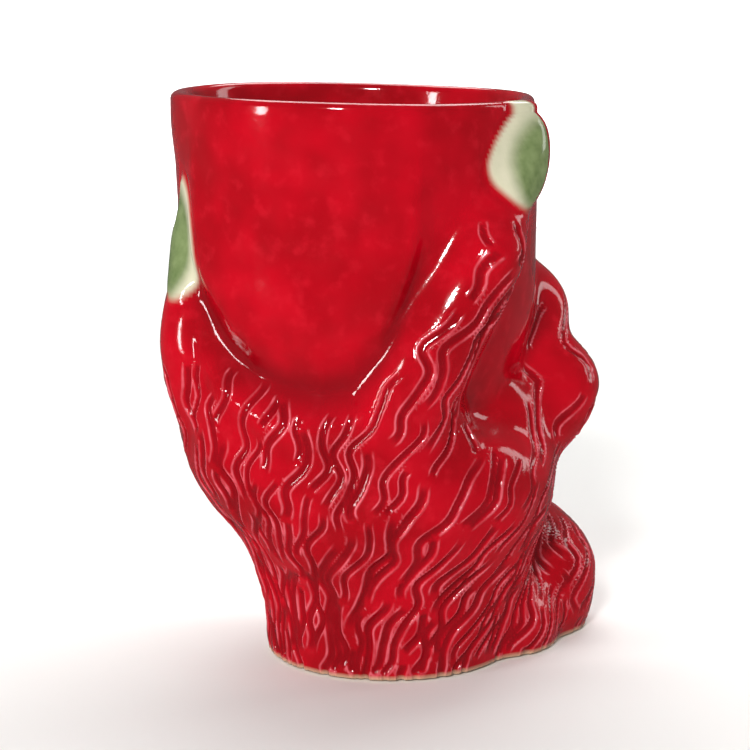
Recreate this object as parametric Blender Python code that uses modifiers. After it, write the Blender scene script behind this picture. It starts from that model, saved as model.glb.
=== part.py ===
"""A glazed ceramic cup held up by a rough-skinned hand, cast as one hollow body.

Blender 4.5. Run with: blender --background --python part.py
Metres, +Z up. The cup's mouth faces up and the broad back of the hand faces -Y.
The origin is at the centre of the box round the body, on the surface it stands on.
"""

import math

import bmesh
import bpy
from mathutils import Matrix, Vector

MM = 0.001

# ---- driving dimensions, in millimetres ------------------------------------------
HEIGHT = 140.2  # foot to lip, at the cup's axis
LIP_RADIUS = 44.6  # outside of the cup at its lip
LIP_TILT = 1.0  # degrees: the lip is higher on the thumb's side
WALL = 4.2  # cast wall at the lip
FLOOR = 7.0  # clay under the deepest point inside
CUP_X = -6.0  # the cup stands off to one side of the wrist
WRIST_X = 2.5
MIDDLE = (2.2, 2.7)  # centre of the finished body's box in these coordinates

RING_SIDES = 48
VOXEL = 1.15  # grid that the clay forms are fused on
FUSE_PASSES = 18  # smoothing passes that round the joins between the forms
LIP_PASSES = 4  # smoothing passes that round the lip
KEEP_SHARE = 0.055  # share of the fused faces that is kept

# Level rings: x, y, z of the centre, half width in X and half depth in Y.
PALM = [
    (WRIST_X, -1, -10, 31, 34.5),
    (WRIST_X, -1, 2, 31, 34.5),
    (3, -1, 12, 32.5, 35),
    (3.5, -1, 22, 35.3, 36.5),
    (3, -2, 30, 37.5, 40.5),
    (1.5, -2, 38, 42.3, 44.5),
    (0, -2, 46, 46, 46.7),
    (-1, -1, 53, 46.7, 46.8),
    (-2, -1, 58, 45, 45.5),
    (-3, -1, 62, 40, 41),
    (-4, -1, 64, 30, 31),
    (-5, -1, 65, 14, 15),
]
CUP = [
    (-8, 0, 49, 12, 12),
    (-8, 0, 52, 25, 25),
    (-7, 0, 56, 33, 33),
    (-6, 0, 62, 38, 38),
    (-5.5, 0, 69, 40, 40),
    (-5, 0, 76, 41.7, 41.7),
    (-5, 0, 84, 42.6, 43),
    (-5, 0, 94, 43.5, 43.7),
    (-5, 0, 106, 44.5, 44.3),
    (-5.5, 0, 118, 45, 44.7),
    (CUP_X, 0, 130, 44.9, 44.9),
    (CUP_X, 0, 140, LIP_RADIUS, LIP_RADIUS),
    (CUP_X, 0, 152, LIP_RADIUS, LIP_RADIUS),
    (CUP_X, 0, 158, LIP_RADIUS, LIP_RADIUS),
]
CAVITY = [
    (WRIST_X, 0, FLOOR - 1, 13, 13),
    (WRIST_X, 0, FLOOR, 20, 20),
    (WRIST_X, 0, 13, 25, 26),
    (3, 0, 24, 29, 30),
    (0, 0, 38, 35, 35),
    (-2, 0, 50, 38, 38),
    (-4, 0, 60, 37, 37),
    (-5, 0, 70, 35, 35),
    (-5, 0, 81, 37.2, 37.2),
    (-5, 0, 94, 38.8, 38.8),
    (-5, 0, 108, 39.8, 39.8),
    (CUP_X, 0, 126, 40.5, 40.5),
    (CUP_X, 0, 140, LIP_RADIUS - WALL, LIP_RADIUS - WALL),
    (CUP_X, 0, 156, LIP_RADIUS - WALL, LIP_RADIUS - WALL),
    (CUP_X, 0, 162, LIP_RADIUS - WALL, LIP_RADIUS - WALL),
]

# Eggs: centre and half sizes.
HEEL = {
    "heel": ((37, 20, 12), (20.5, 22, 23)),
    "heel_root": ((30, 4, 6), (17, 20.5, 16)),
}

# Fingers climb the cup: angle round its axis from +X in degrees, height, distance
# of the centre line from the axis, and radius.
FINGERS = {
    "thumb": [
        (205, 30, 16, 9),
        (206, 46, 31.5, 10.5),
        (206, 62, 36, 11.5),
        (203, 82, 39.8, 10.5),
        (199, 96, 40, 8),
        (196, 108, 40.6, 5.5),
        (194, 117, 40.3, 3),
    ],
    "thumb_web": [
        (228, 34, 22, 10),
        (224, 48, 32.5, 11.5),
        (220, 60, 36, 12),
        (215, 72, 37, 10),
        (209, 82, 37.5, 8),
    ],
    "first_finger": [
        (-95, 26, 20, 12),
        (-86, 44, 31, 13),
        (-78, 58, 36, 13),
        (-70, 72, 39.5, 12),
        (-62, 84, 41.5, 11),
        (-53, 95, 42.5, 11),
        (-46, 104, 43, 10.5),
        (-39, 114, 43.5, 8.5),
        (-31, 126, 45, 6),
        (-28, 135, 46, 3),
    ],
    "second_finger": [
        (-12, 20, 20, 11),
        (-6, 40, 33, 12),
        (-1, 54, 41.5, 12),
        (3, 66, 49.2, 12),
        (9, 77, 45.5, 9.5),
        (15, 86, 46.5, 9.8),
        (24, 95, 42.5, 7),
        (31, 104, 42.5, 5.5),
        (34, 113, 43, 3),
    ],
    "third_finger": [
        (55, 24, 24, 12),
        (60, 42, 36, 12),
        (63, 56, 44, 11.5),
        (66, 68, 48.5, 10.5),
        (70, 79, 46.5, 9.5),
        (75, 89, 46, 9.5),
        (80, 99, 44.5, 8),
        (84, 110, 44.5, 5.5),
        (86, 118, 45, 3),
    ],
    "little_finger": [
        (108, 26, 24, 11),
        (112, 42, 36, 11),
        (114, 56, 42.5, 10.5),
        (117, 67, 45, 9.5),
        (121, 78, 44.5, 8.5),
        (126, 89, 43.5, 7.5),
        (130, 99, 43.5, 5),
        (132, 106, 44, 3),
    ],
}

# Flat eggs: angle, height, distance of the centre, lean, half sizes (thick, wide, tall).
WEBS = {
    "thumb_valley": (-100, 54, 33.5, 0, (12.5, 22, 12.5)),
    "first_root": (-72, 58, 35.5, 20, (12, 15, 22)),
    "first_valley": (-40, 46, 34, 0, (12, 18, 12)),
    "second_root": (-12, 52, 38, 10, (12, 17, 20)),
}
NAILS = {
    "thumb_nail": (193, 104, 42, 4, (3.2, 7, 13)),
    "first_nail": (-27, 125.5, 47.6, 18, (4, 8.5, 13)),
    "second_nail": (33, 107, 44, 14, (3.2, 6.8, 12)),
    "third_nail": (85, 112, 45.5, 10, (3.2, 6.8, 12)),
    "little_nail": (131, 101, 44.3, 10, (3, 6, 10.5)),
}


def clear_scene():
    for obj in list(bpy.data.objects):
        bpy.data.objects.remove(obj, do_unlink=True)


def new_collection(name):
    collection = bpy.data.collections.new(name)
    bpy.context.scene.collection.children.link(collection)
    return collection


def closed_object(name, mesh, collection):
    """An object of this closed mesh, faces outward, moved to the body's own centre."""
    work = bmesh.new()
    work.from_mesh(mesh)
    bmesh.ops.remove_doubles(work, verts=work.verts, dist=0.02 * MM)
    bmesh.ops.recalc_face_normals(work, faces=work.faces)
    bmesh.ops.translate(work, verts=work.verts, vec=(-MIDDLE[0] * MM, -MIDDLE[1] * MM, 0))
    work.to_mesh(mesh)
    work.free()
    mesh.name = name
    obj = bpy.data.objects.new(name, mesh)
    collection.objects.link(obj)
    return obj


def made_by(guide, collection):
    """The closed mesh that a guide object's curve or modifiers make; drops the guide."""
    collection.objects.link(guide)
    graph = bpy.context.evaluated_depsgraph_get()
    mesh = bpy.data.meshes.new_from_object(guide.evaluated_get(graph))
    name = guide.name.removesuffix("_guide")
    bpy.data.objects.remove(guide)
    return closed_object(name, mesh, collection)


def stack(name, rings, collection):
    """A form bridged over level rings and smoothed as a subdivision surface."""
    work = bmesh.new()
    loops = []
    for x, y, z, wide, deep in rings:
        place = Matrix.Translation(Vector((x, y, z)) * MM) @ Matrix.Diagonal((wide, deep, 1, 1))
        known = set(work.edges)
        bmesh.ops.create_circle(work, segments=RING_SIDES, radius=MM, matrix=place)
        loops.append([edge for edge in work.edges if edge not in known])
    for low, high in zip(loops, loops[1:]):
        bmesh.ops.bridge_loops(work, edges=low + high)
    bmesh.ops.holes_fill(work, edges=loops[0] + loops[-1], sides=0)
    mesh = bpy.data.meshes.new(name)
    work.to_mesh(mesh)
    work.free()
    guide = bpy.data.objects.new(name + "_guide", mesh)
    smooth = guide.modifiers.new("smooth", "SUBSURF")
    smooth.levels = smooth.render_levels = 2
    return made_by(guide, collection)


def round_the_cup(turn, z, reach):
    """The point at this angle, height and distance from the cup's axis."""
    angle = math.radians(turn)
    return Vector((CUP_X + reach * math.cos(angle), reach * math.sin(angle), z)) * MM


def finger(name, stations, collection):
    """A tapering tube through the stations of one finger."""
    curve = bpy.data.curves.new(name, "CURVE")
    curve.dimensions = "3D"
    curve.bevel_depth = MM
    curve.bevel_resolution = 8
    curve.resolution_u = 6
    curve.use_fill_caps = True
    spline = curve.splines.new("BEZIER")
    spline.bezier_points.add(len(stations) - 1)
    spline.radius_interpolation = "CARDINAL"
    for point, (turn, z, reach, radius) in zip(spline.bezier_points, stations):
        point.co = round_the_cup(turn, z, reach)
        point.radius = radius
        point.handle_left_type = point.handle_right_type = "AUTO"
    return made_by(bpy.data.objects.new(name + "_guide", curve), collection)


def egg(name, place, half_sizes, collection):
    """A ball stretched to these half sizes and placed by a matrix."""
    work = bmesh.new()
    stretched = place @ Matrix.Diagonal((*half_sizes, 1))
    bmesh.ops.create_uvsphere(work, u_segments=40, v_segments=24, radius=MM, matrix=stretched)
    mesh = bpy.data.meshes.new(name)
    work.to_mesh(mesh)
    work.free()
    return closed_object(name, mesh, collection)


def plate(name, turn, z, reach, lean, half_sizes, collection):
    """A flat egg against the cup: it faces out from the axis and leans sideways."""
    face_out = Matrix.Rotation(math.radians(turn), 4, "Z")
    lean_over = Matrix.Rotation(math.radians(-lean), 4, "X")
    place = Matrix.Translation(round_the_cup(turn, z, reach)) @ face_out @ lean_over
    return egg(name, place, half_sizes, collection)


def block(name, bottom, tilt, collection):
    """A box far larger than the body, its lower face at this height and tilt."""
    work = bmesh.new()
    place = Matrix.Translation(Vector((CUP_X, 0, bottom)) * MM)
    place = place @ Matrix.Rotation(math.radians(tilt), 4, "Y")
    place = place @ Matrix.Translation((0, 0, 0.1))
    bmesh.ops.create_cube(work, size=0.2, matrix=place)
    mesh = bpy.data.meshes.new(name)
    work.to_mesh(mesh)
    work.free()
    return closed_object(name, mesh, collection)


def joined(name, pieces, collection):
    """One mesh holding the overlapping closed forms, for the fuse to unite."""
    work = bmesh.new()
    for piece in pieces:
        work.from_mesh(piece.data)
        bpy.data.objects.remove(piece)
    mesh = bpy.data.meshes.new(name)
    work.to_mesh(mesh)
    work.free()
    obj = bpy.data.objects.new(name, mesh)
    collection.objects.link(obj)
    return obj


def cut(obj, tool):
    """Take the tool's volume off; the tool itself is only a helper."""
    tool.hide_render = True
    tool.display_type = "WIRE"
    off = obj.modifiers.new("cut_" + tool.name, "BOOLEAN")
    off.operation = "DIFFERENCE"
    off.solver = "EXACT"
    off.object = tool


def fuse(obj, passes):
    """Unite everything in the mesh into one skin and soften it."""
    skin = obj.modifiers.new("fuse", "REMESH")
    skin.mode = "VOXEL"
    skin.voxel_size = VOXEL * MM
    soft = obj.modifiers.new("soften", "SMOOTH")
    soft.factor = 0.6
    soft.iterations = passes


def glaze():
    material = bpy.data.materials.new("red_glaze")
    material.use_nodes = True
    shader = material.node_tree.nodes["Principled BSDF"]
    shader.inputs["Base Color"].default_value = (0.45, 0.008, 0.012, 1)
    shader.inputs["Roughness"].default_value = 0.12
    return material


def main():
    clear_scene()
    parts = new_collection("parts")
    cutters = new_collection("cutters")
    palm = stack("palm", PALM, parts)
    cup = stack("cup", CUP, parts)
    heel = [
        egg(name, Matrix.Translation(Vector(centre) * MM), half_sizes, parts)
        for name, (centre, half_sizes) in HEEL.items()
    ]
    fingers = [finger(name, stations, parts) for name, stations in FINGERS.items()]
    plates = [plate(name, *place, parts) for name, place in (WEBS | NAILS).items()]
    body = joined("hand_cup", [palm, cup, *heel, *fingers, *plates], parts)

    fuse(body, FUSE_PASSES)
    cut(body, block("above_lip", HEIGHT, LIP_TILT, cutters))
    cut(body, stack("cavity", CAVITY, cutters))
    fuse(body, LIP_PASSES)
    fewer = body.modifiers.new("fewer_faces", "DECIMATE")
    fewer.ratio = KEEP_SHARE
    cut(body, block("below_foot", -200, 0, cutters))
    body.data.materials.append(glaze())


main()
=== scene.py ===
# %% [markdown]
# # A glazed hand cup
# This is a slip-cast earthenware cup: a smooth round cup, held from below by a rough-skinned
# hand whose wrist is the foot. It is one hollow body under one running red glaze, and only the
# nails are painted in other colours.
# The CAD model fixes the size and the main forms. This file keeps both and makes the surface:
# the carved skin, the crisp nails, the rounded lip and the glaze.

# %% Load the frame
import math
import random

import bmesh
import bpy
import numpy as np
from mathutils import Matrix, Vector, noise
from mathutils.bvhtree import BVHTree


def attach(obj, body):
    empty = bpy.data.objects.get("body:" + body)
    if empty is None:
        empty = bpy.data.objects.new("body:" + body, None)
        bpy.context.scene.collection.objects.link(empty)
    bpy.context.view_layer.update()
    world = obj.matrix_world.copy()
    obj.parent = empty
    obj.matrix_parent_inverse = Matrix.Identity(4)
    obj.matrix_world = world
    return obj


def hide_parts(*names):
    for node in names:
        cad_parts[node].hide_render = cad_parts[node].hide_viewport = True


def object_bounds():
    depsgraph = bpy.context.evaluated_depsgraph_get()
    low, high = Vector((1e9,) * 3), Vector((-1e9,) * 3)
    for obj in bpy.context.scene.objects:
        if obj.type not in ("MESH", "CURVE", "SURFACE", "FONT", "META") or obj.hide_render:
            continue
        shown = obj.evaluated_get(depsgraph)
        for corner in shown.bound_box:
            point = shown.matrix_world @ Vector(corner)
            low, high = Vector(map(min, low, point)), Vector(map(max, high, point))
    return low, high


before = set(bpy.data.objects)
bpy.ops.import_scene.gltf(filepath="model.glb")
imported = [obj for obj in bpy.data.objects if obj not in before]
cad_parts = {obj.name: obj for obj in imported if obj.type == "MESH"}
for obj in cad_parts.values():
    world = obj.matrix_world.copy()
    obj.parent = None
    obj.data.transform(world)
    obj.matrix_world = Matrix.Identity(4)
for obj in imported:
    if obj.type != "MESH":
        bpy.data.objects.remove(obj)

MM = 0.001
cad_low, cad_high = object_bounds()
TOP = cad_high[2]
print("CAD box, mm:", [round(v / MM, 1) for v in (*cad_low, *cad_high)])

# %% [markdown]
# ## The camera, the floor and the light
# The cup stands on a white table before a white wall and is seen from a little above its
# middle. Shiny glaze shows its lights as mirror images, so the lights are what draws the form:
# a soft box above the viewer's left shoulder gives the small bright windows on the lip and
# knuckles, a narrow one low on the left draws the web and the thumb, and a dim room keeps the
# red deep. One large light overhead would be simpler, but a glaze under it looks like plastic.
# The table and wall light the cup but are not mirrored in it, which would turn the red milky.

# %% Camera
FOCUS = Vector((-3.2, -2.7, 69.5)) * MM
DISTANCE = 0.6
TILT = math.radians(9.67)

camera = bpy.data.objects.new("camera", bpy.data.cameras.new("camera"))
bpy.context.scene.collection.objects.link(camera)
camera.data.lens = 114.29
camera.data.sensor_width = 36
camera.location = FOCUS + Vector((0, -math.cos(TILT), math.sin(TILT))) * DISTANCE
camera.rotation_euler = (math.pi / 2 - TILT, 0, 0)
bpy.context.scene.camera = camera


# %% Selecting and editing by hand, from code
def deselect_all():
    if bpy.context.object and bpy.context.object.mode != "OBJECT":
        bpy.ops.object.mode_set(mode="OBJECT")
    bpy.ops.object.select_all(action="DESELECT")


def pick(obj):
    """Make obj the one selected, active object."""
    deselect_all()
    obj.select_set(True)
    bpy.context.view_layer.objects.active = obj


def apply_all(obj):
    """Apply an object's modifiers from the top of the stack down."""
    pick(obj)
    for name in [modifier.name for modifier in obj.modifiers]:
        bpy.ops.object.modifier_apply(modifier=name)


def select_edges(obj, test):
    """Select the edges whose two ends pass the test, and nothing else."""
    pick(obj)
    bpy.ops.object.mode_set(mode="EDIT")
    bpy.ops.mesh.select_mode(type="EDGE")
    bpy.ops.mesh.select_all(action="DESELECT")
    work = bmesh.from_edit_mesh(obj.data)
    chosen = [edge for edge in work.edges if test(edge.verts[0].co, edge.verts[1].co)]
    for edge in chosen:
        edge.select_set(True)
    bmesh.update_edit_mesh(obj.data)


def points_of(obj):
    flat = np.empty(len(obj.data.vertices) * 3)
    obj.data.vertices.foreach_get("co", flat)
    return flat.reshape(-1, 3)


def normals_of(obj):
    flat = np.empty(len(obj.data.vertices) * 3)
    obj.data.vertex_normals.foreach_get("vector", flat)
    return flat.reshape(-1, 3)


def put_points(obj, points):
    obj.data.vertices.foreach_set("co", points.ravel())
    obj.data.update()


# %% Floor and wall
deselect_all()
bpy.ops.mesh.primitive_plane_add(size=60, location=(0, 0, -0.0002))
floor = bpy.context.object
floor.name = "pale_floor"
bpy.ops.mesh.primitive_plane_add(size=3, location=(0, 1, 1.4), rotation=(math.radians(90), 0, 0))
wall = bpy.context.object
wall.name = "pale_wall"


# %% Lights
def soft_box(name, place, aim, width, height, power):
    light = bpy.data.lights.new(name, "AREA")
    light.shape = "RECTANGLE"
    light.size = width
    light.size_y = height
    light.energy = power
    obj = bpy.data.objects.new(name, light)
    bpy.context.scene.collection.objects.link(obj)
    obj.location = place
    obj.rotation_euler = (Vector(aim) - Vector(place)).to_track_quat("-Z", "Y").to_euler()
    return obj


CUP_MIDDLE = (-0.005, 0, 0.08)
soft_box("key_box", (-0.55, -2.7, 1.55), CUP_MIDDLE, 0.36, 0.36, 68)
soft_box("back_box", (0.1, 1.1, 1.5), (0, 0.5, 0), 1.4, 1.2, 28)
soft_box("right_box", (1.3, 0.5, 0.6), CUP_MIDDLE, 0.3, 0.9, 3)
soft_box("left_box", (-1.25, -0.75, 0.35), CUP_MIDDLE, 0.16, 0.4, 5)
world = bpy.data.worlds.new("pale_room")
bpy.context.scene.world = world
world.use_nodes = True
world.node_tree.nodes["Background"].inputs["Color"].default_value = (0.95, 0.97, 1, 1)
world.node_tree.nodes["Background"].inputs["Strength"].default_value = 0.13
bpy.context.scene.view_settings.view_transform = "Standard"  # keeps the red as deep as it is

# %% [markdown]
# ## The form under the skin
# The CAD model's hand is made of small flat triangles. A glaze shows every one of them as a
# glint, so a copy of it is first made smooth. Its corners could be hidden with smooth shading,
# but the outline would still be angular. A voxel remesh of the copy gives it even small faces,
# and the Smooth modifier then rounds away the facets without moving the larger forms.

# %% A smooth copy of the CAD body
AXIS_X, AXIS_Y = -8.2 * MM, -2.7 * MM  # the cup's own axis

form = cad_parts["hand_cup"].copy()
form.data = form.data.copy()
form.name = "form"
bpy.context.scene.collection.objects.link(form)
pick(form)
form.parent = None
bpy.ops.object.mode_set(mode="EDIT")
bpy.ops.mesh.select_all(action="SELECT")
bpy.ops.mesh.remove_doubles(threshold=0.00001)
bpy.ops.object.mode_set(mode="OBJECT")
rough = form.modifiers.new("even_faces", "REMESH")
rough.mode = "VOXEL"
rough.voxel_size = 0.9 * MM
soft = form.modifiers.new("no_facets", "SMOOTH")
soft.factor = 0.6
soft.iterations = 14
apply_all(form)
surface = BVHTree.FromObject(form, bpy.context.evaluated_depsgraph_get())
print("smooth form:", len(form.data.polygons), "faces")

# %% [markdown]
# ## The blank for the skin
# The carved strokes are about 2 mm wide and run up the hand, so the skin needs many narrow
# columns. A remesh that fine would give the smooth inside the same millions of faces. A
# cylinder's grid is better: its columns can be half a millimetre wide, its rows follow the
# form, and its highlights run clean. It starts as a tube wider than the hand, is cut into
# rows with Subdivide, and the Shrinkwrap modifier then shoots each point inwards to the form.

# %% A fine tube round the cup
COLUMNS = 440
ROWS = 176
SKIN_LOW, SKIN_HIGH = 1.2 * MM, TOP - 3.6 * MM


def tube_blank(name, columns, rows, radius, low, high):
    """An open upright tube of this many columns and rows round the cup's axis."""
    deselect_all()
    bpy.ops.mesh.primitive_cylinder_add(
        vertices=columns, radius=radius, depth=high - low, end_fill_type="NOTHING",
        location=(AXIS_X, AXIS_Y, (low + high) / 2))
    tube = bpy.context.object
    tube.name = name
    bpy.ops.object.transform_apply(location=True, rotation=True, scale=True)
    select_edges(tube, lambda a, b: abs(a.z - b.z) > (high - low) / 2)
    bpy.ops.mesh.subdivide(number_cuts=1)
    bpy.ops.object.mode_set(mode="OBJECT")
    select_edges(tube, lambda a, b: abs(a.z - b.z) > (high - low) / 4)
    bpy.ops.mesh.subdivide(number_cuts=rows // 2 - 1)
    bpy.ops.object.mode_set(mode="OBJECT")
    return tube


def crowd_rows(tube, share, of_height):
    """Slide the rows so that this share of them lies in the lowest part of the height."""
    points = points_of(tube)
    low, high = points[:, 2].min(), points[:, 2].max()
    place = (points[:, 2] - low) / (high - low)
    points[:, 2] = low + (high - low) * np.interp(place, [0, share, 1], [0, of_height, 1])
    put_points(tube, points)


def project(obj, target, outward):
    """Shoot each point along its normal until it meets the target."""
    wrap = obj.modifiers.new("meet_form", "SHRINKWRAP")
    wrap.target = target
    wrap.wrap_method = "PROJECT"
    wrap.use_negative_direction = not outward
    wrap.use_positive_direction = outward
    wrap.use_project_x = wrap.use_project_y = wrap.use_project_z = False
    apply_all(obj)


def relax(obj, passes):
    """Even out the grid and take off the last roughness."""
    even = obj.modifiers.new("relax", "SMOOTH")
    even.factor = 0.5
    even.iterations = passes
    apply_all(obj)


skin = tube_blank("hand_cup_body", COLUMNS, ROWS, 80 * MM, SKIN_LOW, SKIN_HIGH)
crowd_rows(skin, 0.75, 0.66)
project(skin, form, outward=False)
relax(skin, 8)
bpy.ops.object.shade_smooth()
print("skin blank:", len(skin.data.polygons), "faces")

# %% [markdown]
# ## Finding a place on the hand
# Strokes, nails and creases are all placed the way a potter would say it: at this turn round
# the cup, at this height. A helper drops such a place onto the skin, and another measures how
# far every point of the skin is from a line drawn on it. Painting the same marks as a bump
# texture would be quicker, but carved marks must break the outline and catch real shadows.


# %% Places on the skin
def on_skin(turn, height):
    """The point of the smooth form at this angle (degrees from +X) and height (mm)."""
    outward = Vector((math.cos(math.radians(turn)), math.sin(math.radians(turn)), 0))
    start = Vector((AXIS_X, AXIS_Y, height * MM)) + outward * 90 * MM
    hit = surface.ray_cast(start, -outward)[0]
    return hit if hit is not None else start - outward * 45 * MM


def smooth_step(low, high, value):
    t = np.clip((value - low) / (high - low), 0, 1)
    return t * t * (3 - 2 * t)


def read_skin():
    """The skin's points, the way each faces, and its turn and height on the cup."""
    points = points_of(skin)
    turns = np.degrees(np.arctan2(points[:, 1] - AXIS_Y, points[:, 0] - AXIS_X))
    return points, normals_of(skin), turns, points[:, 2] / MM


base, facing, turns, heights = read_skin()


def near_line(line, reach):
    """Skin points within reach of a line: their numbers, distance and place along it."""
    low, high = line.min(0) - reach, line.max(0) + reach
    near = np.flatnonzero(((base > low) & (base < high)).all(1))
    starts, steps = line[:-1], np.diff(line, axis=0)
    long = np.linalg.norm(steps, axis=1)
    to_point = base[near][:, None, :] - starts[None]
    along = np.clip((to_point * steps).sum(2) / np.maximum(long**2, 1e-12), 0, 1)
    miss = to_point - along[..., None] * steps
    gaps = np.linalg.norm(miss, axis=2)
    best = gaps.argmin(1)
    row = np.arange(len(near))
    done = np.concatenate([[0], long.cumsum()])[:-1]
    share = (done[best] + along[row, best] * long[best]) / long.sum()
    keep = gaps[row, best] < reach
    return near[keep], gaps[row, best][keep] / MM, share[keep]


# %% [markdown]
# ## The forms a cast cannot be without
# Before the skin is carved, the larger modelling is sharpened: the bowl of the cup swells
# between the thumb and the first finger, and the first finger lies against the cup with a
# crease down its right side. They could be put in the CAD solid, but its faces are too few
# for a crease one millimetre wide.

# %% The web between thumb and finger
# Where the bowl of the cup sits down into the web: turn and height along that line.
BOWL_LINE = [(-152, 100), (-143, 90), (-134, 83), (-124, 78), (-112, 75), (-100, 74), (-90, 76),
             (-82, 82), (-76, 91), (-70, 103)]
WEB_RADIUS, BOWL_RADIUS = 46.2, 40.0
BOWL_SWELL = 2.2  # mm that the bowl bulges above that line
LEFT_FLARE = 1.0  # mm that the lip leans out on the thumb's side

line_height = np.interp(turns, *zip(*BOWL_LINE))
above = heights - line_height
inside_web = smooth_step(-156, -146, turns) * (1 - smooth_step(-74, -64, turns))
reach = np.hypot(base[:, 0] - AXIS_X, base[:, 1] - AXIS_Y) / MM
web = WEB_RADIUS + (BOWL_RADIUS - WEB_RADIUS) * smooth_step(-11, -1, above)
filled = np.maximum(reach, web * inside_web + reach * (1 - inside_web))
near_edge = smooth_step(-22, -12, above)
filled = reach + (filled - reach) * near_edge
swell = BOWL_SWELL * smooth_step(-2, 8, above) * (1 - smooth_step(8, 34, above)) * inside_web
flare = LEFT_FLARE * smooth_step(122, 136, heights) * smooth_step(28, 10, 180 - np.abs(turns))
grown = ((filled + swell + flare) / reach)[:, None]
middle = np.array([AXIS_X, AXIS_Y])
base[:, :2] = middle + (base[:, :2] - middle) * grown
put_points(skin, base)
relax(skin, 5)
base, facing, turns, heights = read_skin()
surface = BVHTree.FromObject(skin, bpy.context.evaluated_depsgraph_get())

# %% Knuckles and uneven flesh
# Turn, height, radius and rise (mm) of each soft bump.
BUMPS = [(-50, 105, 8, 3.0), (-72, 84, 9, 0.9), (-158, 80, 11, 1.2), (-8, 90, 9, 1.2), (4, 68, 9, 1.4),
         (-120, 46, 14, 1.2), (-66, 40, 14, 1.0)]
UNEVEN_BY, UNEVEN_SIZE = 1.1, 13  # mm that the flesh rises and falls, and how far apart

lift = np.zeros(len(base))  # how far each point moves out along its normal, in mm
for turn, height, radius, rise in BUMPS:
    away = np.linalg.norm(base - np.array(on_skin(turn, height)), axis=1) / MM
    lift += rise * np.exp(-((away / radius) ** 2))
flesh = (1 - smooth_step(-14, -4, above)) * inside_web + smooth_step(78, 64, heights) * (1 - inside_web)
unevenness = np.array([noise.noise(Vector(point) / (UNEVEN_SIZE * MM)) for point in base])
lift += UNEVEN_BY * unevenness * flesh * smooth_step(3, 14, heights)
# Partly glaze gathering in the web and partly painted shade: the valley under the bowl is darkened as if
# shade fell in it.
glaze_pool_and_painted_shade = np.exp(-(((above + 1.5) / 4.5) ** 2)) * inside_web  # where the glaze gathers, and painted shade that darkens the web's valley

# %% The finger's crease
across = np.full(len(base), 4.0)  # distance from the nearest stroke, in its half widths
fading = np.zeros(len(base))  # 1 along a stroke, 0 at its ends

CREASE = [(-58, 66), (-57, 74), (-55, 81), (-53, 87), (-50, 92), (-44, 97), (-36, 101),
          (-29, 106), (-25, 111), (-23, 117)]
CREASE_DEPTH = 1.6  # mm


def smooth_line(places, count):
    """A smooth run of points on the skin through given (turn, height) marks."""
    marks = np.array(places, float)
    spot = np.linspace(0, len(marks) - 1, count)
    knots = np.arange(len(marks))
    bend = [np.interp(spot, knots, marks[:, axis]) for axis in (0, 1)]
    soft = [np.convolve(np.pad(b, 2, mode="edge"), np.ones(5) / 5, "valid") for b in bend]
    return np.array([on_skin(turn, height) for turn, height in zip(*soft)])


where, gap, share = near_line(smooth_line(CREASE, 50), 5 * MM)
fade = np.sin(np.pi * np.clip(share, 0.02, 0.98)) ** 0.4
lift[where] -= CREASE_DEPTH * fade * np.exp(-(gap**2))


def mark(where, gap, strength):
    """Keep the nearest stroke's distance and strength at each point."""
    closer = gap < across[where]
    across[where[closer]] = gap[closer]
    fading[where[closer]] = strength[closer]


mark(where, gap, fade)

# %% [markdown]
# ## The carved skin
# The skin is wavy strokes cut into the clay with a small loop tool. Each leaves a channel
# about 2 mm wide with a thin raised edge, and they run with the hand: from the wrist, fanning
# out into the fingers, and neighbours meet or cross only where the lanes crowd together.
# Random scratches would look like tree bark.
# So the strokes follow lanes that start evenly round the wrist and are steered by the five
# digits, and a slow shared wave makes neighbours bend together.

# %% The lanes of the hand
# Each digit's lane: height in mm, then its turn round the cup.
DIGITS = {
    -155: [(0, -148), (30, -150), (60, -154), (85, -157), (110, -165)],
    -95: [(0, -97), (24, -95), (44, -86), (60, -77), (74, -69), (85, -62), (95, -53), (104, -46),
          (114, -39), (126, -31)],
    -50: [(0, -58), (20, -42), (40, -20), (54, -4), (66, 3), (86, 15), (104, 31)],
    55: [(0, 48), (42, 60), (68, 66), (89, 75), (110, 84)],
    110: [(0, 106), (42, 112), (67, 117), (89, 126), (106, 132)],
}
LANE_STARTS = np.array(sorted(DIGITS))
WAVE = 1.05  # mm that a stroke swings to either side
STEP = 1.3  # mm of height between the points along a stroke
BURR = 0.16  # mm that a stroke's raised edge stands up


def lane_turn(start, height):
    """Where a lane that starts at this turn at the wrist has got to at this height."""
    here = [np.interp(height, *zip(*DIGITS[digit])) for digit in LANE_STARTS]
    rounds = np.concatenate([LANE_STARTS - 360, LANE_STARTS, LANE_STARTS + 360])
    heres = np.concatenate([np.array(here) - 360, here, np.array(here) + 360])
    return np.interp(start, rounds, heres)


# The height that the strokes reach, all round: the webs are low, the knuckles high.
SKIN_TOP = [(-180, 70), (-165, 74), (-150, 78), (-128, 76), (-114, 71), (-104, 68), (-93, 69),
            (-84, 70), (-76, 78), (-70, 92), (-62, 100), (-56, 74), (-50, 60), (-40, 55), (-28, 58),
            (-15, 72), (-4, 84), (8, 92), (18, 94), (28, 76), (38, 60), (48, 64), (60, 82),
            (72, 94), (84, 90), (96, 66), (104, 66), (112, 78), (124, 86), (136, 66), (150, 60),
            (165, 64), (180, 70)]


def skin_top(turn, height):
    """The strokes' upper end at this turn; the first finger's slant carries them higher."""
    top = np.interp((turn + 180) % 360 - 180, *zip(*SKIN_TOP))
    finger = np.interp(height, *zip(*DIGITS[-95]))
    return 112 if height > 60 and abs(turn - finger) < 13 else top


dice = random.Random(7)


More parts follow.
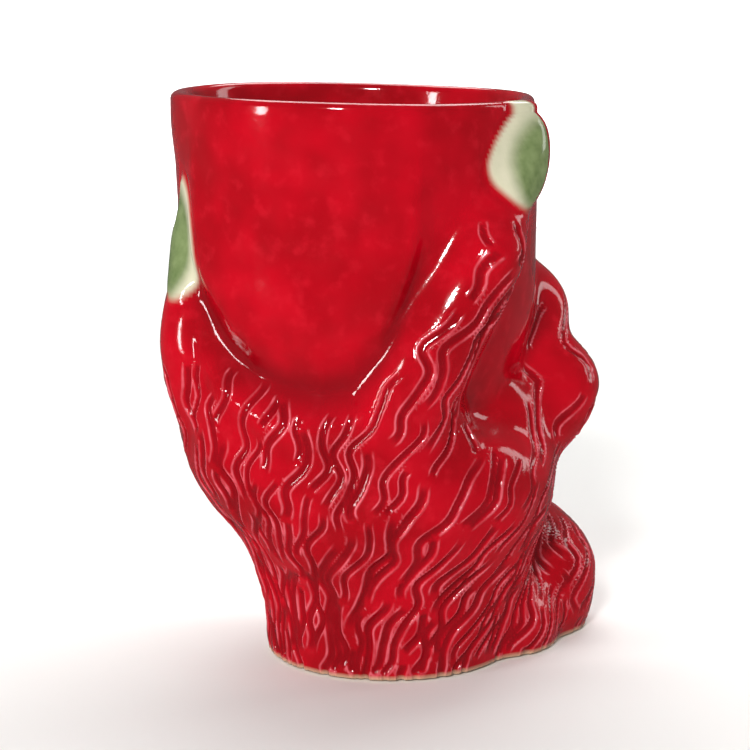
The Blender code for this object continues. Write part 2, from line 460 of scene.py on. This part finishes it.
def stroke_path(start, low, length, phase):
    """The line of one stroke: up its lane, swinging with a wave its neighbours share."""
    line = []
    for step in range(int(length / STEP) + 2):
        height = low + step * STEP
        if height > min(skin_top(lane_turn(start, height), height), TOP / MM - 8):
            break
        slow = math.radians(start)
        swing = math.sin(height / 2.2 + 5 * slow + phase) + 0.3 * math.sin(height / 1.3 - 9 * slow + phase)
        swing += 1.1 * math.sin(height / 5.0 + 11 * slow)
        line.append((lane_turn(start, height) + math.degrees(WAVE * swing / 44), height))
    return line


def carve(line, depth, half_width):
    """Cut one stroke: a round-bottomed channel that fades at both ends."""
    where, gap, share = near_line(line, 4 * half_width * MM)
    ends = smooth_step(0, 0.16, share) * smooth_step(0, 0.16, 1 - share)
    gap = gap / half_width
    channel = (1 - smooth_step(0.3, 1.35, gap)) * ends
    edge = np.exp(-(((gap - 1.7) / 0.6) ** 2)) * ends
    cut[where] = np.maximum(cut[where], depth * channel)
    burr[where] = np.maximum(burr[where], BURR * edge)
    mark(where, gap, smooth_step(0, 0.07, share) * smooth_step(0, 0.07, 1 - share))


cut = np.zeros(len(base))
burr = np.zeros(len(base))
strokes = 0
LANES = 84
for lane in range(LANES):
    height = dice.uniform(-6, 6)
    while height < 112:
        length = dice.choice([10, 16, 22, 30, 38])
        start = -180 + (lane + dice.uniform(-0.35, 0.35)) * 360 / LANES
        places = stroke_path(start, height, length, dice.uniform(-1.5, 1.5))
        if len(places) > 4:
            line = np.array([on_skin(turn, max(z, 1.5)) for turn, z in places])
            carve(line, dice.uniform(0.5, 0.95), dice.uniform(0.7, 1.0))
            strokes += 1
        height += length + dice.uniform(1.5, 5)
lift += burr * smooth_step(0.8, 1.4, across) - cut
print(strokes, "strokes")

# %% [markdown]
# ## The nails
# The nails are almond plates that stand a little proud of the fingertips. They could be
# separate pieces, but on a casting they are one with the body and the glaze runs over their
# edge, so each is raised out of the skin here, and its shape is kept to paint it later.

# %% Five nails
# Turn, height, half width, half length (mm), lean (degrees), side that the green is nearer.
NAILS = [(-34, 126.5, 7.6, 12.8, 24, 1), (-157, 106, 6.6, 15, -6, -1), (33, 107, 6.0, 11.5, 14, 1),
         (85, 112, 6.2, 12.0, 10, 1), (131, 101, 5.4, 10.5, 10, -1)]
PROUD, RIM = 0.6, 0.2  # mm that a nail stands up, and that the skin dips round it
nail = np.zeros(len(base))
green = np.zeros(len(base))
for turn, height, wide, tall, lean, green_side in NAILS:
    middle = np.array(on_skin(turn, height))
    out = np.array([math.cos(math.radians(turn)), math.sin(math.radians(turn)), 0])
    aside = np.array([-out[1], out[0], 0])
    tilt = math.radians(lean)
    up = np.array([0, 0, math.cos(tilt)]) + aside * math.sin(tilt)
    aside = np.cross(up, out)
    away = base - middle
    s, t = away @ aside / MM, away @ up / MM
    front = np.abs(away @ out) < 9 * MM
    round_off = np.sqrt((s / (wide * (1 - 0.35 * np.clip(t / tall, -0.4, 1)))) ** 2 + (t / tall) ** 2)
    plate = smooth_step(1.06, 0.9, round_off) * front
    rim = np.exp(-(((round_off - 1.14) / 0.07) ** 2)) * front
    lift = lift * (1 - plate) + PROUD * plate - RIM * rim
    nail = np.maximum(nail, plate)
    off_side = (s - green_side * 0.42 * wide) / (0.9 * wide)
    paint = np.sqrt(off_side**2 + ((t + 0.08 * tall) / (0.95 * tall)) ** 2)
    green = np.maximum(green, smooth_step(1.2, 0.7, paint) * front)
fading *= 1 - nail

# %% Move the skin
put_points(skin, base + facing * (lift * MM)[:, None])


def keep_attribute(obj, name, values):
    layer = obj.data.attributes.new(name, "FLOAT", "POINT")
    layer.data.foreach_set("value", values.astype(np.float32))


keep_attribute(skin, "across", across)
keep_attribute(skin, "glaze_pool_and_painted_shade", glaze_pool_and_painted_shade)
keep_attribute(skin, "fading", fading)
keep_attribute(skin, "nail", nail)
keep_attribute(skin, "green", green)

# %% [markdown]
# ## The lip, the inside and the foot
# The lip is the thin rounded edge of the cast wall, and it runs on into the smooth inside.
# It could be a Solidify wall, but the inside is a plain funnel that knows nothing of the
# fingers. So the skin's top loop is extruded over the lip in steps, the inside is a second,
# coarser tube pushed out to the CAD hollow, and the two loops are bridged.


# %% The lip
def select_open_edges(obj, low, high):
    """Select the border edges whose points lie between two heights."""
    pick(obj)
    bpy.ops.object.mode_set(mode="EDIT")
    bpy.ops.mesh.select_mode(type="EDGE")
    bpy.ops.mesh.select_all(action="DESELECT")
    work = bmesh.from_edit_mesh(obj.data)
    for edge in work.edges:
        heights = [vert.co.z for vert in edge.verts]
        if edge.is_boundary and min(heights) > low and max(heights) < high:
            edge.select_set(True)
    bmesh.update_edit_mesh(obj.data)


def extruded_loop(obj):
    """Extrude the selected border in place and give back its new points' numbers."""
    bpy.ops.mesh.extrude_region_move(TRANSFORM_OT_translate={"value": (0, 0, 0)})
    work = bmesh.from_edit_mesh(obj.data)
    return work, [vert for vert in work.verts if vert.select]


INSIDE_RADIUS = 41 * MM
LIP_STEPS = 8
LIP_RISE = 1.7 * MM
LIP_LEVEL = TOP - 0.5 * MM
LIP_SLOPE = 0.7 * MM  # higher on the thumb's side
LIP_DIP = 0.4 * MM  # lower at the front


def turn_and_reach(point):
    """A point's angle round the cup's axis and its distance from it."""
    x, y = point.x - AXIS_X, point.y - AXIS_Y
    return math.atan2(y, x), math.hypot(x, y)


select_open_edges(skin, TOP - 8 * MM, 1)
work = bmesh.from_edit_mesh(skin.data)
rims = sorted(turn_and_reach(vert.co) for vert in work.verts if vert.select)
for step in range(LIP_STEPS + 1):
    work, ring = extruded_loop(skin)
    over = math.pi * step / LIP_STEPS
    for vert in ring:
        angle = turn_and_reach(vert.co)[0]
        outer = np.interp(angle, *zip(*rims), period=2 * math.pi)
        half = (outer - INSIDE_RADIUS) / 2
        radius = INSIDE_RADIUS + half * (1 + math.cos(over))
        level = LIP_LEVEL - LIP_SLOPE * math.cos(angle) + LIP_DIP * math.sin(angle)
        level += 0.15 * MM * math.sin(3 * angle + 1)
        vert.co.x = AXIS_X + radius * math.cos(angle)
        vert.co.y = AXIS_Y + radius * math.sin(angle)
        vert.co.z = level - LIP_RISE * (1 - math.sin(over))
    bmesh.update_edit_mesh(skin.data)
bpy.ops.object.mode_set(mode="OBJECT")

# %% The inside
inside = tube_blank("inside", 260, 44, 10 * MM, 12 * MM, TOP - 6 * MM)
project(inside, form, outward=True)
relax(inside, 6)
select_open_edges(inside, 0, 20 * MM)
FLOOR_MIDDLE = Vector((0.3, -2.7, 7.2)) * MM
for share, height in ((0.86, 9.6), (0.66, 8.2), (0.4, 7.4), (0.15, 7.2)):
    work, ring = extruded_loop(inside)
    for vert in ring:
        vert.co.z = height * MM
    bmesh.update_edit_mesh(inside.data)
    bpy.ops.transform.resize(value=(share ** 0.5,) * 2 + (1,), center_override=FLOOR_MIDDLE)
bpy.ops.mesh.extrude_region_move(TRANSFORM_OT_translate={"value": (0, 0, 0)})
bpy.ops.mesh.merge(type="CENTER")
bpy.ops.mesh.select_all(action="SELECT")
bpy.ops.mesh.flip_normals()
bpy.ops.object.mode_set(mode="OBJECT")

# %% Join the inside to the lip
deselect_all()
inside.select_set(True)
skin.select_set(True)
bpy.context.view_layer.objects.active = skin
bpy.ops.object.join()
select_open_edges(skin, TOP - 12 * MM, 1)
bpy.ops.mesh.bridge_edge_loops()

# %% The foot
FOOT_MIDDLE = Vector((4, 0, 0)) * MM
select_open_edges(skin, -1, 10 * MM)
for share, height in ((0.995, 0.5), (0.98, 0.12), (0.95, 0), (0.86, 0), (0.84, 0.5), (0.4, 0.5)):
    work, ring = extruded_loop(skin)
    for vert in ring:
        vert.co.z = height * MM
    bmesh.update_edit_mesh(skin.data)
    bpy.ops.transform.resize(value=(share, share, 1), center_override=FOOT_MIDDLE)
bpy.ops.mesh.extrude_region_move(TRANSFORM_OT_translate={"value": (0, 0, 0)})
bpy.ops.mesh.merge(type="CENTER")
bpy.ops.object.mode_set(mode="OBJECT")
bpy.ops.object.shade_smooth()

check = bmesh.new()
check.from_mesh(skin.data)
open_edges = sum(1 for edge in check.edges if not edge.is_manifold)
triangles = sum(len(face.verts) - 2 for face in check.faces)
print("open edges:", open_edges, "triangles:", triangles, "volume cm3:",
      round(check.calc_volume(signed=True) * 1e6, 1))
check.free()

# %% [markdown]
# ## The glaze
# The finish is a clear red glaze over pale clay: glossy as glass, and as deep in colour as it
# is thick. It runs off the raised edges, where the clay shows through as pink, and pools dark
# in the channels. The colour could be painted by hand on each point; here the carving already
# knows where it is high and low, so the material reads that, and adds the cloudy mottling and
# the fine orange-peel that a fired glaze has.


# %% Colour and nodes
def linear(code):
    """A colour written as sRGB hex, in the linear values that shaders use."""
    parts = [int(code[i:i + 2], 16) / 255 for i in (1, 3, 5)]
    return [p / 12.92 if p <= 0.04045 else ((p + 0.055) / 1.055) ** 2.4 for p in parts] + [1]


def node(tree, kind, inputs=None, **settings):
    """Add a node, set its properties, and fill or link its inputs."""
    new = tree.nodes.new(kind)
    for name, value in settings.items():
        setattr(new, name, value)
    for name, value in (inputs or {}).items():
        if isinstance(value, bpy.types.NodeSocket):
            tree.links.new(value, new.inputs[name])
        else:
            new.inputs[name].default_value = value
    return new


def fresh_material(name):
    material = bpy.data.materials.new(name)
    material.use_nodes = True
    tree = material.node_tree
    shader = tree.nodes["Principled BSDF"]
    return material, tree, shader


# %% Red glaze over pale clay
# Glossy red glaze, clouded where it ran thicker: the eye sees deep patches 18 mm across, with
# small brighter freckles 4 mm across.
glaze, tree, shader = fresh_material("red_glaze_over_pale_clay")
where = node(tree, "ShaderNodeTexCoord").outputs["Object"]
clouds = node(tree, "ShaderNodeTexNoise", {"Vector": where, "Scale": 1 / (18 * MM)})
thick = node(tree, "ShaderNodeMapRange",
             {"Value": clouds.outputs["Fac"], "From Min": 0.35, "From Max": 0.65},
             interpolation_type="SMOOTHSTEP")
red = node(tree, "ShaderNodeMix",
           {0: thick.outputs["Result"], 6: linear("#A20010"), 7: linear("#BE0018")}, data_type="RGBA")
freckles = node(tree, "ShaderNodeTexNoise", {"Vector": where, "Scale": 1 / (4 * MM), "Detail": 4})
thin = node(tree, "ShaderNodeMapRange",
            {"Value": freckles.outputs["Fac"], "From Min": 0.5, "From Max": 0.75, "To Max": 0.35},
            interpolation_type="SMOOTHSTEP")
red = node(tree, "ShaderNodeMix",
           {0: thin.outputs["Result"], 6: red.outputs[2], 7: linear("#D0182A")}, data_type="RGBA")

# Painted shade: the web's valley is mixed towards dark red. This is partly glaze pooled there and partly
# shade painted into the colour.
valley = node(tree, "ShaderNodeAttribute", attribute_name="glaze_pool_and_painted_shade").outputs["Fac"]
pooled_and_shaded = node(tree, "ShaderNodeMath", {0: valley, 1: 0.75}, operation="MULTIPLY")
red = node(tree, "ShaderNodeMix",
           {0: pooled_and_shaded.outputs[0], 6: red.outputs[2], 7: linear("#76060F")}, data_type="RGBA")

# %% Glaze in the strokes
# The glaze pools in each channel and runs off its burrs: a dark line between two pale ones,
# and the pale ones break up every 6 mm or so.
distance = node(tree, "ShaderNodeAttribute", attribute_name="across").outputs["Fac"]
strength = node(tree, "ShaderNodeAttribute", attribute_name="fading").outputs["Fac"]
pool = node(tree, "ShaderNodeMapRange",
            {"Value": distance, "From Min": 1.1, "From Max": 0.5, "To Max": 0.55},
            interpolation_type="SMOOTHSTEP")
pool = node(tree, "ShaderNodeMath", {0: pool.outputs["Result"], 1: strength}, operation="MULTIPLY")
red = node(tree, "ShaderNodeMix",
           {0: pool.outputs[0], 6: red.outputs[2], 7: linear("#6E000A")}, data_type="RGBA")
inner = node(tree, "ShaderNodeMapRange", {"Value": distance, "From Min": 0.95, "From Max": 1.3},
             interpolation_type="SMOOTHSTEP")
outer = node(tree, "ShaderNodeMapRange", {"Value": distance, "From Min": 1.9, "From Max": 1.4},
             interpolation_type="SMOOTHSTEP")
edge = node(tree, "ShaderNodeMath", {0: inner.outputs["Result"], 1: outer.outputs["Result"]},
            operation="MULTIPLY")
edge = node(tree, "ShaderNodeMath", {0: edge.outputs[0], 1: strength}, operation="MULTIPLY")
breaks = node(tree, "ShaderNodeTexNoise", {"Vector": where, "Scale": 1 / (6 * MM)})
worn = node(tree, "ShaderNodeMapRange",
            {"Value": breaks.outputs["Fac"], "From Min": 0.35, "From Max": 0.65,
             "To Min": 0.3, "To Max": 1.0},
            interpolation_type="SMOOTHSTEP")
pale = node(tree, "ShaderNodeMath", {0: edge.outputs[0], 1: worn.outputs["Result"]},
            operation="MULTIPLY")
red = node(tree, "ShaderNodeMix",
           {0: pale.outputs[0], 6: red.outputs[2], 7: linear("#E0606C")}, data_type="RGBA")

# %% Nail paint and bare foot
# Cream and leaf-green underglaze, brushed on: each is mottled at about 3 mm. The foot is
# wiped clean, so the lowest millimetre is bare buff clay.
brushed = node(tree, "ShaderNodeTexNoise", {"Vector": where, "Scale": 1 / (3 * MM)})
cream = node(tree, "ShaderNodeMix",
             {0: brushed.outputs["Fac"], 6: linear("#CFCDAE"), 7: linear("#DCD6BC")},
             data_type="RGBA")
leaf = node(tree, "ShaderNodeMix",
            {0: brushed.outputs["Fac"], 6: linear("#4A6030"), 7: linear("#93A36F")},
            data_type="RGBA")
leafed = node(tree, "ShaderNodeAttribute", attribute_name="green").outputs["Fac"]
paint = node(tree, "ShaderNodeMix", {0: leafed, 6: cream.outputs[2], 7: leaf.outputs[2]},
             data_type="RGBA")
nailed = node(tree, "ShaderNodeAttribute", attribute_name="nail").outputs["Fac"]
painted = node(tree, "ShaderNodeMix", {0: nailed, 6: red.outputs[2], 7: paint.outputs[2]},
               data_type="RGBA")
height = node(tree, "ShaderNodeSeparateXYZ", {0: where}).outputs["Z"]
wiped = node(tree, "ShaderNodeMapRange", {"Value": height, "From Min": 1.6 * MM, "From Max": 0.4 * MM})
colour = node(tree, "ShaderNodeMix",
              {0: wiped.outputs["Result"], 6: painted.outputs[2], 7: linear("#DDB898")},
              data_type="RGBA")
tree.links.new(colour.outputs[2], shader.inputs["Base Color"])

# %% Gloss
# A fired glaze is as smooth as glass, so highlights are small and sharp; a 1 mm orange-peel
# breaks their edges up, and each burr catches a thin line of light.
shader.inputs["IOR"].default_value = 1.48
sheen = node(tree, "ShaderNodeTexNoise", {"Vector": where, "Scale": 1 / (6 * MM), "Detail": 3})
rough = node(tree, "ShaderNodeMapRange",
             {"Value": sheen.outputs["Fac"], "From Min": 0.3, "From Max": 0.7,
              "To Min": 0.05, "To Max": 0.12})
tree.links.new(rough.outputs["Result"], shader.inputs["Roughness"])
grain = node(tree, "ShaderNodeTexNoise", {"Vector": where, "Scale": 1 / (1.1 * MM), "Detail": 3})
peel = node(tree, "ShaderNodeBump",
            {"Height": grain.outputs["Fac"], "Strength": 0.1, "Distance": 0.25 * MM})
burr_line = node(tree, "ShaderNodeBump",
                 {"Height": edge.outputs[0], "Strength": 0.5, "Distance": 0.3 * MM,
                  "Normal": peel.outputs["Normal"]})
tree.links.new(burr_line.outputs["Normal"], shader.inputs["Normal"])
skin.data.materials.clear()
skin.data.materials.append(glaze)

# %% Floor and wall finish
table, tree, shader = fresh_material("pale_matt_table")
shader.inputs["Base Color"].default_value = linear("#F2F1EE")
shader.inputs["Roughness"].default_value = 0.7
floor.data.materials.append(table)
floor.visible_glossy = False  # the glaze in front stays free of a milky sheen from the table
paper, tree, shader = fresh_material("lit_white_paper")
shader.inputs["Base Color"].default_value = linear("#F2F2F2")
shader.inputs["Roughness"].default_value = 0.9
shader.inputs["Emission Color"].default_value = linear("#FFFFFF")
shader.inputs["Emission Strength"].default_value = 0.8
wall.data.materials.append(paper)
wall.visible_glossy = False

# %% Hand it over
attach(skin, "root")
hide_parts("hand_cup")
bpy.data.objects.remove(form)
